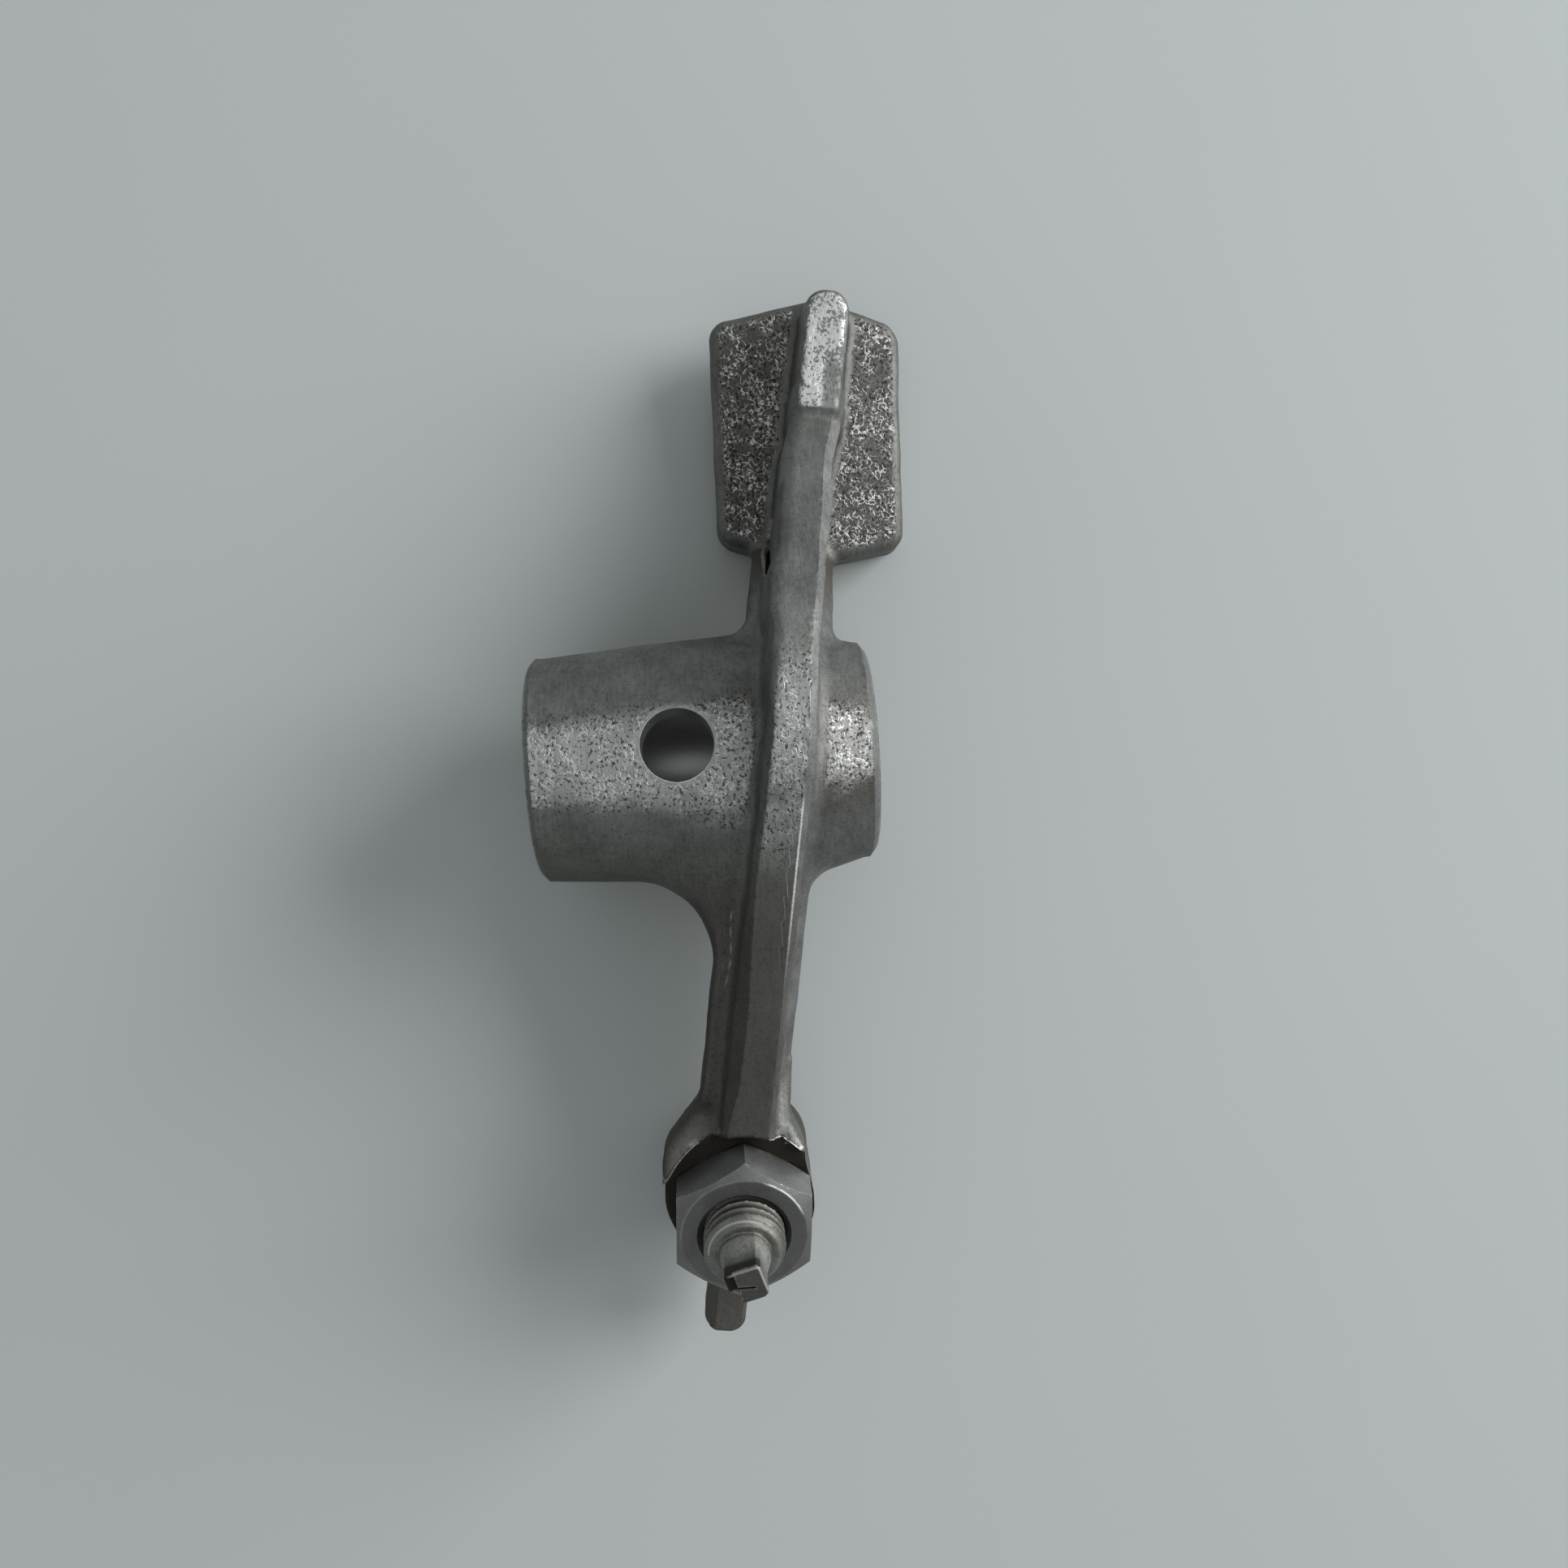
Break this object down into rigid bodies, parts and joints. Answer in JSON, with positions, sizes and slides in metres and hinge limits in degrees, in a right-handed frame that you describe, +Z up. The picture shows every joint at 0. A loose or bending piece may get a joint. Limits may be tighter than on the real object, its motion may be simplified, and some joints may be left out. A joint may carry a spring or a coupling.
{
  "type": "rocker arm",
  "caption": "Forged overhead-cam rocker arm with a slipper pad, a cross-drilled pivot boss, and an adjusting screw with lock nut at the valve end.",
  "frame": {"origin": "centre of the pivot bore, halfway along the boss", "axes": "+X along the pivot bore, +Y from the pivot towards the slipper pad, +Z up towards the nut side"},
  "size_m": [0.0304, 0.0811, 0.0227],
  "materials": {
    "forged_steel": "tumbled forging, dark grey, pitted, with polished high spots",
    "screw_steel": "heat-treated steel with a fine thread, dark grey",
    "nut_steel": "smooth machined steel, mid grey"
  },
  "bodies": {
    "arm": {"rocker_arm": "forged_steel"},
    "nut": {"lock_nut": "nut_steel"},
    "screw": {"adjusting_screw": "screw_steel"}
  },
  "joints": [
    {"name": "adjuster_turn", "type": "hinge", "parent": "arm", "child": "nut", "pos_m": [0.0007, -0.0341, 0.00025], "axis": [0, -0.3256, 0.9455], "range_deg": [-961, 721]},
    {"name": "screw_advance", "type": "slide", "parent": "nut", "child": "screw", "axis": [0, -0.3256, 0.9455], "range_m": [-0.002, 0.0015]}
  ],
  "couplings": [
    {"joint": "adjuster_turn", "follows": "screw_advance", "rad_per_m": 8377.6}
  ]
}
